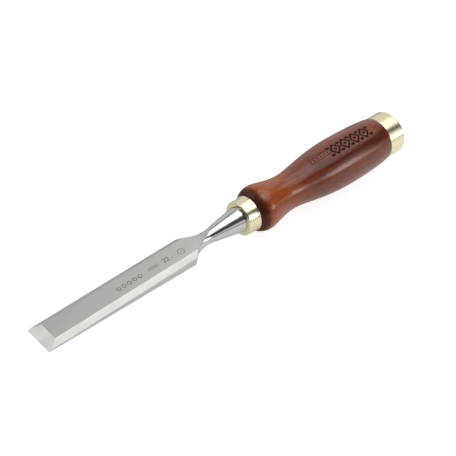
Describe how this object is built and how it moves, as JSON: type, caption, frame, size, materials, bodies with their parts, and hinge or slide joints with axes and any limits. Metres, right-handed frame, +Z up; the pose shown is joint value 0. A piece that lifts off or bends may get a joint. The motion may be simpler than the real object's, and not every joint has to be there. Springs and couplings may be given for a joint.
{
  "type": "bench chisel",
  "caption": "Bevel-edged bench chisel with a conical bolster, a brass ferrule, a turned wooden handle and a brass striking hoop.",
  "frame": {"origin": "on the bench, under the middle of the lying tool's length and width", "axes": "+X from the cutting edge to the butt, +Z up; the tool lies on its cutting edge and on the bead of the handle, so the blade's flat back is tilted 3.8 degrees"},
  "size_m": [0.3022, 0.0362, 0.0407],
  "materials": {
    "steel": "ground blade with fine lengthwise grinding lines, polished neck and bolster",
    "brass": "polished pale brass",
    "varnished_wood": "red-brown hardwood under glossy varnish"
  },
  "bodies": {
    "root": {"blade": "steel", "ferrule": "brass", "handle": "varnished_wood", "striking_hoop": "brass"}
  },
  "joints": []
}
